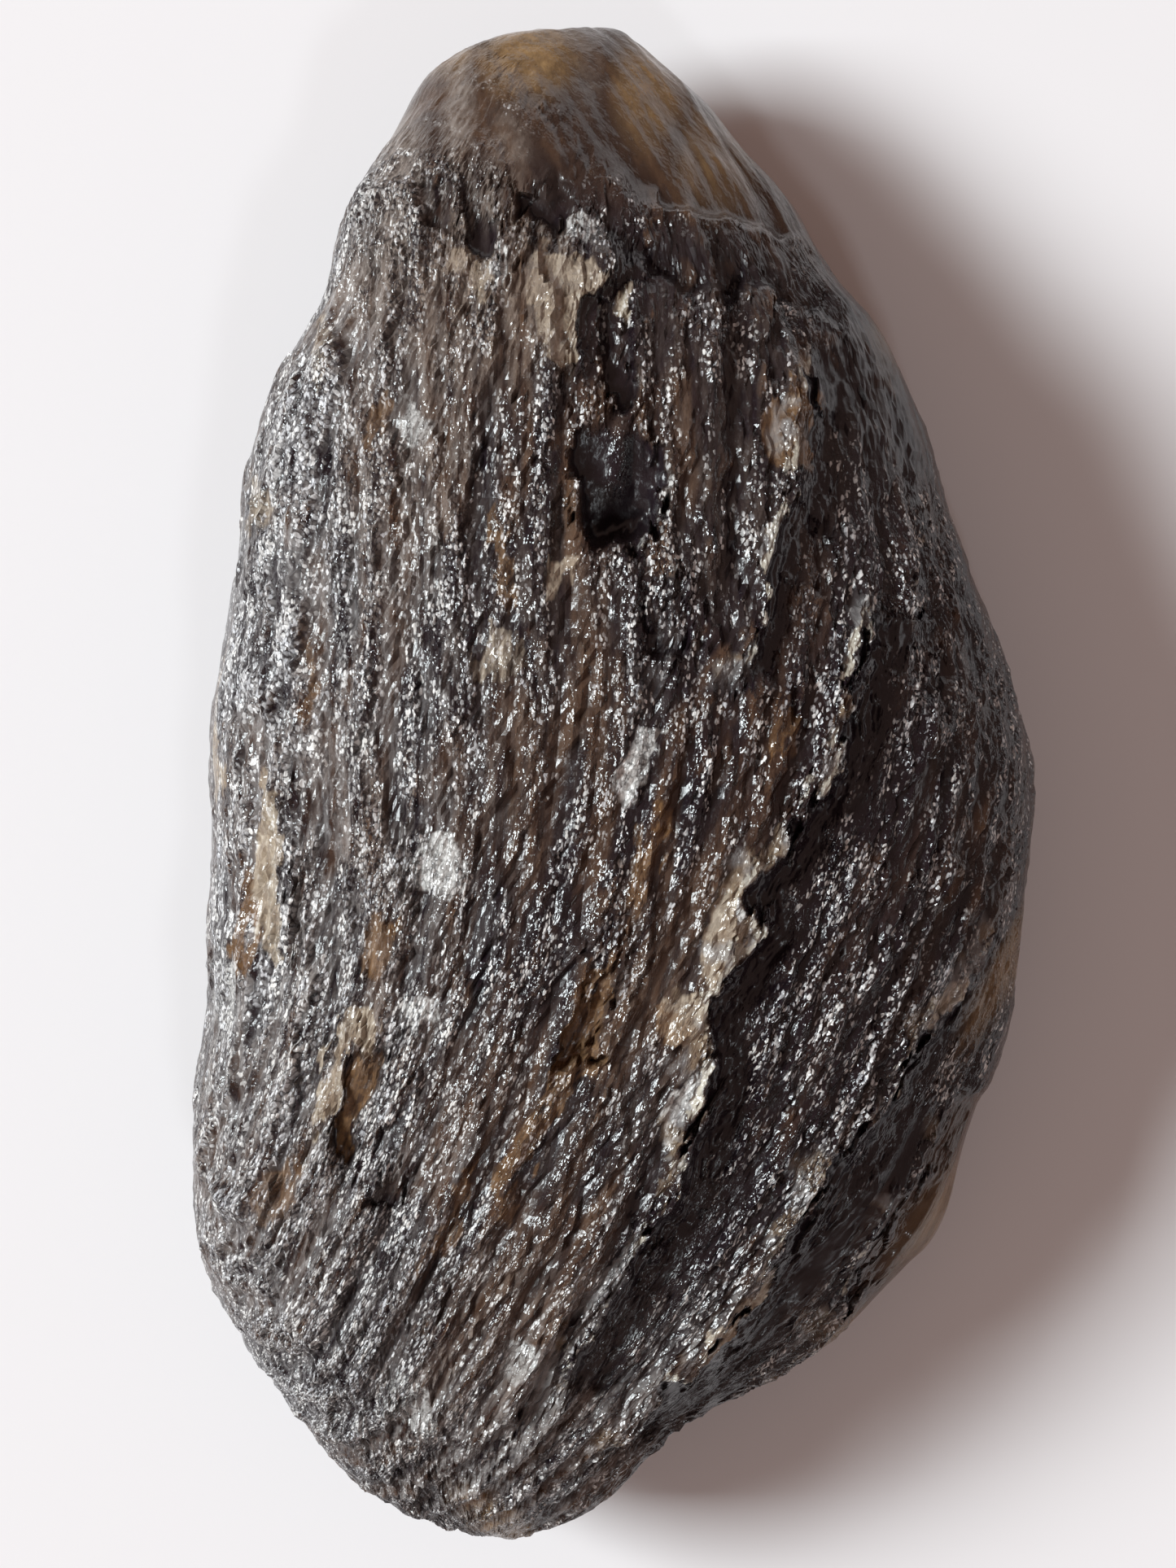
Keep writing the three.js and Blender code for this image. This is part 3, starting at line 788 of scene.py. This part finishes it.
# Thin bright lines along convex edges: painted highlights, which join the lips.
painted_edge_highlight = 0.3 * edge * presence * smooth(0.4, 0.7, noise(strand / 0.9, run / 1.6, 43))
print("glitter share", round(float(glitter.mean()), 2), "frosted share", round(float(frost_and_sheen.mean()), 2))

# %% All that the material reads
known = {
    "line": line,
    "run": run,
    "depth": depth,
    "lip": np.maximum(lip, painted_edge_highlight),
    "lip_plate": lip_plate * (0.5 + 0.5 * numbers[2]),
    "hollow": hollow,
    "glitter": glitter,
    "frost_and_sheen": frost_and_sheen,
    "smooth_glass": 1 - flaky,
    # No brown in the hollows, so that they are painted black as shade.
    "brown": np.maximum(brown_plates, brown_field) * (1 - hollow),
    "tan": tan,
    "amber": amber,
    "pale": pale,
    "ochre": ochre,
    "milky": milky,
    "warm": warm,
    # Dark stretches, and grooves painted darker as shade.
    "dark": np.maximum(dark, 0.8 * (1 - crest)),
}
for name, values in known.items():
    print(f"{name:12s} {values.min():7.2f} to {values.max():6.2f}, mean {values.mean():6.2f}")

# %% [markdown]
# ## The mesh
#
# The skin is one mesh that takes the place of the solid. Where it is flaky its triangles are shaded flat,
# because glass breaks in flat faces and each of them should glint by itself. Worn glass is shaded smooth.

# %% Make the mesh
FACETED_FROM = 0.3
mesh = bpy.data.meshes.new("stone_skin")
mesh.from_pydata((points * MM).tolist(), [], faces.tolist())
faceted = broken[faces].mean(axis=1) > FACETED_FROM
mesh.polygons.foreach_set("use_smooth", ~faceted)
for name, values in known.items():
    mesh.attributes.new(name, "FLOAT", "POINT").data.foreach_set("value", values.astype(np.float32))
stone = bpy.data.objects.new("stone_skin", mesh)
bpy.context.scene.collection.objects.link(stone)
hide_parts("stone")
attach(stone, "root")
print(len(mesh.vertices), "corners,", len(mesh.polygons), "triangles,", int(faceted.sum()), "faceted")

# %% [markdown]
# ## Writing shaders as sums
#
# Node trees are easier to read as arithmetic. One small class wraps a socket, so that `1 - mask * 0.5`
# adds the Math nodes by itself. Colours go through Mix nodes, because a Math node turns a colour grey.

# %% The shader class
class Socket:
    def __init__(self, shop, link):
        self.shop, self.link = shop, link

    def _math(self, operation, *others):
        return self.shop.node("ShaderNodeMath", {"operation": operation}, dict(enumerate(others)))

    def __add__(self, other):
        return self._math("ADD", self, other)

    __radd__ = __add__

    def __sub__(self, other):
        return self._math("SUBTRACT", self, other)

    def __rsub__(self, other):
        return self._math("SUBTRACT", other, self)

    def __mul__(self, other):
        return self._math("MULTIPLY", self, other)

    __rmul__ = __mul__

    def __truediv__(self, other):
        return self._math("DIVIDE", self, other)

    def __pow__(self, other):
        return self._math("POWER", self, other)

    def also(self, output):
        """Another output of the same node."""
        return Socket(self.shop, self.link.node.outputs[output])

    def above(self, low, high):
        """0 up to low, 1 from high, and a straight ramp between."""
        return self.shop.node("ShaderNodeMapRange", sockets={0: self, 1: low, 2: high})


class Workshop:
    """Adds nodes to one material."""

    def __init__(self, name):
        self.material = bpy.data.materials.new(name)
        self.material.use_nodes = True
        self.tree = self.material.node_tree
        self.tree.nodes.clear()

    def node(self, kind, settings=None, sockets=None, output=0):
        made = self.tree.nodes.new(kind)
        for name, value in (settings or {}).items():
            setattr(made, name, value)
        for name, value in (sockets or {}).items():
            if isinstance(value, Socket):
                self.tree.links.new(value.link, made.inputs[name])
            else:
                made.inputs[name].default_value = value
        return Socket(self, made.outputs[output]) if made.outputs else None

    def vector(self, operation, *others, output="Vector"):
        return self.node("ShaderNodeVectorMath", {"operation": operation}, dict(enumerate(others)), output)

    def known(self, name):
        return self.node("ShaderNodeAttribute", {"attribute_name": name}, output="Fac")

    def blend(self, first, second, mask):
        colours = {"Factor": mask, 6: first, 7: second}
        return self.node("ShaderNodeMix", {"data_type": "RGBA"}, colours, output=2)

    def mottle(self, place, scale, detail, roughness):
        sockets = {"Vector": place, "Scale": scale, "Detail": detail, "Roughness": roughness}
        return self.node("ShaderNodeTexNoise", sockets=sockets)

    def crystals(self, place):
        """Grains: a number for each, its height as a tilted bump, and the distance from its middle."""
        grain = self.node("ShaderNodeTexVoronoi", sockets={"Vector": place, "Scale": 1.0})
        colour = grain.also("Color")
        number = self.node("ShaderNodeSeparateColor", sockets={0: colour}, output="Blue")
        tilt = self.vector("SUBTRACT", colour, (0.5, 0.5, 0.5))
        away = self.vector("SUBTRACT", place, grain.also("Position"))
        return number, self.vector("DOT_PRODUCT", tilt, away, output="Value") - grain * 0.4, grain


def rgb(red, green, blue):
    return (red, green, blue, 1.0)


print("shader helpers ready")

# %% [markdown]
# ## Smoky glass under a frosted skin
#
# On the real stone light does two things. Some of it goes in, and the glass swallows it: a few millimetres
# leave brown, a centimetre leaves black. The rest is scattered by the etched skin, which shows brown, tan
# and silver. One glass surface with much roughness would lose the dark, and paint alone would lose the
# depth. So two surfaces are mixed: a clear one over an absorbing volume, and an opaque, glossy one that
# carries the colours, among them painted glints, sheen and shade. Both have the same fine bump, whose
# facets catch the light as glints.

# %% Places on the skin
shop = Workshop("smoky_glass")
amount = {name: shop.known(name) for name in known}
in_metres = shop.node("ShaderNodeTexCoord", output="Object")
in_mm = shop.node("ShaderNodeVectorMath", {"operation": "SCALE"}, {0: in_metres, "Scale": 1 / MM})


def on_grain(across, run):
    """A place on the skin, squeezed so that a pattern is that wide and that long, in mm."""
    across_mm, run_mm, depth_mm = (amount[name] for name in ("line", "run", "depth"))
    sockets = {"X": across_mm * (1 / across), "Y": run_mm * (1 / run), "Z": depth_mm * (1 / across)}
    return shop.node("ShaderNodeCombineXYZ", sockets=sockets)


print(len(amount), "numbers read from the skin")

# %% [markdown]
# ### Patterns
#
# Three kinds of pattern are enough. Grains of two sizes come from Voronoi cells, because they have straight
# sides like crystals. Strokes and streaks are noise that is drawn out along the grain. Clouds and a lace of
# cell borders lie across it all. A little warp keeps the cells from looking like tiles.

# %% Grains, strokes and clouds
warp = shop.node("ShaderNodeTexNoise", sockets={"Vector": in_mm, "Scale": 7.0}, output="Color")


def warped(place, amount):
    return shop.vector("MULTIPLY_ADD", warp, (amount, amount, 0.0), place)


small, small_height, small_far = shop.crystals(warped(on_grain(0.065, 0.115), 1.2))
large, _, _ = shop.crystals(warped(on_grain(0.30, 0.65), 0.8))
strokes = shop.mottle(on_grain(0.24, 1.5), 1.0, detail=2.0, roughness=0.6)
streaks = shop.mottle(on_grain(0.55, 4.0), 1.0, detail=3.0, roughness=0.6)
clouds = shop.mottle(in_mm, 0.7, detail=3.0, roughness=0.5)
lace_sockets = {"Vector": warped(in_mm, 0.45), "Scale": 3.0}
lace = shop.node("ShaderNodeTexVoronoi", {"feature": "DISTANCE_TO_EDGE"}, lace_sockets)
print(len(shop.tree.nodes), "nodes so far")

# %% [markdown]
# ### Colours, from the inside out
#
# The colours are laid one over the other in the order in which they lie on the stone: dark glass first,
# then what shows deep in it, then thin plates, then crushed glass and lips, and the glittering grains last.
# Each layer is a Mix node whose factor is a mask of the skin times a pattern.

# %% The glass itself
VIOLET_BLACK = rgb(0.012, 0.007, 0.010)
UMBER = rgb(0.098, 0.052, 0.030)
MILK = rgb(0.33, 0.27, 0.23)
OCHRE_GLASS = rgb(0.42, 0.26, 0.12)
brown_streaks = amount["brown"] * (0.15 + 0.85 * streaks.above(0.40, 0.60))
# Dark stretches and grooves lose some of their brown: in the grooves and valleys that darkening is painted
# shade.
brownness = (brown_streaks + amount["smooth_glass"] * 0.8) * (1 - amount["dark"] * 0.45)
body = shop.blend(VIOLET_BLACK, UMBER, brownness.above(0.0, 1.0))
body = shop.blend(body, MILK, amount["milky"] * (0.35 + 0.65 * strokes.above(0.35, 0.62)))
body = shop.blend(body, OCHRE_GLASS, amount["ochre"] * (0.5 + 0.5 * streaks.above(0.35, 0.62)))

# %% Thin plates
TAN_GLASS = rgb(0.42, 0.31, 0.21)
AMBER_GLASS = rgb(0.24, 0.130, 0.056)
CREAM = rgb(0.60, 0.55, 0.46)
FROST_AND_SHEEN = rgb(0.46, 0.44, 0.43)
WARM_BROWN = rgb(0.26, 0.20, 0.16)


def ragged(mask, pattern, wander=0.9):
    """A mask with a torn edge that follows a pattern."""
    return (mask + (pattern - 0.5) * wander - 0.4).above(0.0, 0.35)


layers = (small * 0.3 + large * 0.3 + strokes.above(0.3, 0.7) * 0.4) ** 1.4
tan_and_cream = shop.blend(TAN_GLASS, CREAM, large * 0.3 + strokes.above(0.3, 0.7) * 0.4)
tan_layers, amber_layers = ((least + 1.1 * layers).above(0.0, 1.0) for least in (0.30, 0.10))
body = shop.blend(body, tan_and_cream, ragged(amount["tan"], strokes) * tan_layers)
body = shop.blend(body, AMBER_GLASS, ragged(amount["amber"], strokes) * amber_layers)
# A painted silvery sheen over the frosted skin, mostly on the lit left side.
body = shop.blend(body, FROST_AND_SHEEN, amount["frost_and_sheen"] * 0.85 * strokes.above(0.36, 0.60))
body = shop.blend(body, WARM_BROWN, amount["warm"] * 0.9 * strokes.above(0.33, 0.60))

# %% Crushed glass and lips
CREASE, CRUMB = rgb(0.13, 0.12, 0.115), rgb(0.74, 0.725, 0.70)
crumple = 0.20 + (small * 0.40 + large * 0.60 - 0.2) * 0.9 + (lace.above(0.0, 0.12) - 0.7) * 0.45
crushed = shop.blend(CREASE, CRUMB, crumple.above(0.0, 0.9))
in_the_open = 1 - amount["hollow"]
body = shop.blend(body, crushed, ragged(amount["pale"], clouds, 1.3))
# Thin plates above the ledges and the lips are paler where light comes through them: that paleness is
# painted light, and the bright lines on convex edges in the lips are painted highlights.
plate_colour = shop.blend(TAN_GLASS, FROST_AND_SHEEN, clouds.above(0.44, 0.52))
body = shop.blend(body, plate_colour, amount["lip_plate"] * 0.65 * in_the_open)
body = shop.blend(body, CREAM, ragged(amount["lip"], small, 0.5) * (0.5 + 0.5 * large) * in_the_open)

# %% [markdown]
# ### Painted glints on the grains
#
# The skin is etched into grains as fine as dust, and their glints are painted into the colour as white
# grains. Where many of them glitter, the share painted white rises and the gaps between them are painted
# black as shade, so that a bright stretch is a dense mix of both and never a plain grey. Each grain draws
# its lot from its own number, its neighbourhood's and the strokes.

# %% Painted shade in the gaps and painted glints
# The whites of the painted glints.
BLUE_WHITE, WARM_WHITE = rgb(0.77, 0.80, 0.89), rgb(0.88, 0.85, 0.81)
glitter_mask = amount["glitter"]
# Dark gaps round each grain: painted shade.
gap_shade = small_far.above(0.38, 0.7) * glitter_mask.above(0.05, 0.4)
body = shop.blend(body, VIOLET_BLACK, gap_shade * 0.85)
lot = small * 0.72 + large * 0.28 + (strokes - 0.5) * 1.1
needed = 0.83 - 0.56 * glitter_mask
painted_glints = ((lot - needed) / (0.17 + 0.42 * glitter_mask)).above(0.0, 1.0)
painted_glints = painted_glints * (1 - small_far.above(0.5, 0.85)) * glitter_mask.above(0.02, 0.15)
painted_glints = painted_glints * (1 - amount["warm"] * 0.45)
body = shop.blend(body, shop.blend(BLUE_WHITE, WARM_WHITE, large * 0.6 + small * 0.4), painted_glints)
print(len(shop.tree.nodes), "nodes with the colours")

# %% [markdown]
# ### Bump and surfaces
#
# The grains are a few hundredths of a millimetre high, too fine for the mesh, so they are a bump. Each
# grain is a small tilted plane and not a dome, because a dome always has a spot that shines and a plane
# shines only when it faces right. The dark stretches have hardly any, and are a little duller.

# %% Bump
in_the_light, flaky_skin = 1 - amount["dark"], 1 - amount["smooth_glass"]
sharpness = 0.02 + 0.36 * in_the_light * flaky_skin + 0.62 * glitter_mask.above(0.05, 0.95)
relief = small_height * sharpness + strokes * 0.5 * amount["smooth_glass"]
BUMP_HEIGHT = 0.10 * MM
bump = shop.node("ShaderNodeBump", sockets={"Strength": 1.0, "Distance": BUMP_HEIGHT, "Height": relief})

# %% Surfaces
GLASS_IOR = 1.5
SMOKE, SMOKE_DENSITY = rgb(0.52, 0.32, 0.18), 800.0
both = {"IOR": GLASS_IOR, "Normal": bump}
frost_and_sheen = {"Base Color": body, "Roughness": 0.11 + 0.22 * amount["dark"]}
clear = {"Base Color": rgb(1, 1, 1), "Roughness": 0.08, "Transmission Weight": 1.0}
frosted_surface = shop.node("ShaderNodeBsdfPrincipled", sockets=frost_and_sheen | both)
clear_surface = shop.node("ShaderNodeBsdfPrincipled", sockets=clear | both)
cover = 0.88 - 0.22 * amount["smooth_glass"] - 0.20 * amount["lip_plate"] + 0.12 * amount["hollow"]
skin = shop.node("ShaderNodeMixShader", sockets={0: cover, 1: clear_surface, 2: frosted_surface})
smoke = shop.node("ShaderNodeVolumeAbsorption", sockets={"Color": SMOKE, "Density": SMOKE_DENSITY})
shop.node("ShaderNodeOutputMaterial", sockets={"Surface": skin, "Volume": smoke})
mesh.materials.append(shop.material)
print(len(shop.tree.nodes), "nodes in the stone's material")

# %% [markdown]
# ## A plain place to look at it
#
# The floor is pale and plain, like paper. A large, bright light stands low on the left and rakes over the
# ledges. A small, weak one in front puts glints on slopes that the first can't reach, and the world fills
# the shadows with a dim, warm light.

# %% Floor
FLOOR_HALF = 0.6
corners = [(i * FLOOR_HALF, j * FLOOR_HALF, 0) for i, j in [(-1, -1), (1, -1), (1, 1), (-1, 1)]]
floor_mesh = bpy.data.meshes.new("floor")
floor_mesh.from_pydata(corners, [], [(0, 1, 2, 3)])
floor = bpy.data.objects.new("floor", floor_mesh)
bpy.context.scene.collection.objects.link(floor)
paper = Workshop("paper")
dull = {"Base Color": rgb(0.82, 0.80, 0.81), "Roughness": 0.8}
paper_surface = paper.node("ShaderNodeBsdfPrincipled", sockets=dull)
paper.node("ShaderNodeOutputMaterial", sockets={"Surface": paper_surface})
floor_mesh.materials.append(paper.material)
print("floor", 2 * FLOOR_HALF, "m wide")

# %% Lights
STONE_CENTRE = Vector((0, 0, 0.006))
LIGHT_DISTANCE = 2.0


def softbox(name, azimuth, elevation, size, watts, colour):
    """A square light that looks at the stone. Azimuth 0 is the right side, 90 the far side."""
    lamp = bpy.data.lights.new(name, "AREA")
    lamp.size, lamp.energy, lamp.color = size, watts, colour
    holder = bpy.data.objects.new(name, lamp)
    a, e = math.radians(azimuth), math.radians(elevation)
    toward = Vector((math.cos(a) * math.cos(e), math.sin(a) * math.cos(e), math.sin(e)))
    holder.location = STONE_CENTRE + toward * LIGHT_DISTANCE
    holder.rotation_euler = toward.to_track_quat("Z", "Y").to_euler()
    bpy.context.scene.collection.objects.link(holder)
    print(name, "at", [round(value, 2) for value in holder.location], "m")


softbox("key", 172, 41, 0.72, 55.0, (0.90, 0.975, 1.0))
softbox("top", -75, 58, 0.16, 3.2, (0.88, 0.95, 1.0))

# %% World
WORLD_COLOUR, WORLD_STRENGTH = rgb(1.0, 0.68, 0.58), 0.26
world = bpy.data.worlds.new("studio")
world.use_nodes = True
background = world.node_tree.nodes["Background"].inputs
background["Color"].default_value, background["Strength"].default_value = WORLD_COLOUR, WORLD_STRENGTH
bpy.context.scene.world = world
bpy.context.scene.view_settings.view_transform = "Standard"
print("world strength", WORLD_STRENGTH)

# %% [markdown]
# ### Camera
#
# The camera looks straight down on the stone. A long lens keeps the sides from showing too much. Its height
# follows from how large the stone should be in the picture: the stone's widest line, its rim, is the height
# at which the scale is right.

# %% Camera
PICTURE_WIDTH, PICTURE_HEIGHT = 1445, 1927
PIXELS_PER_MM = 44.2
STONE_MIDDLE = (756.5, 962.0)  # where the middle of the stone's box lies in the picture, in pixels
SENSOR, LENS, RIM_HEIGHT = 36.0, 120.0, 5.5
picture_mm = PICTURE_HEIGHT / PIXELS_PER_MM
camera_data = bpy.data.cameras.new("camera")
camera_data.sensor_width, camera_data.lens = SENSOR, LENS
camera = bpy.data.objects.new("camera", camera_data)
camera.location = Vector((
    (PICTURE_WIDTH / 2 - STONE_MIDDLE[0]) / PIXELS_PER_MM * MM,
    (STONE_MIDDLE[1] - PICTURE_HEIGHT / 2) / PIXELS_PER_MM * MM,
    (RIM_HEIGHT + picture_mm * LENS / SENSOR) * MM,
))
bpy.context.scene.collection.objects.link(camera)
bpy.context.scene.camera = camera
print("camera height, mm:", round(camera.location.z / MM, 1))
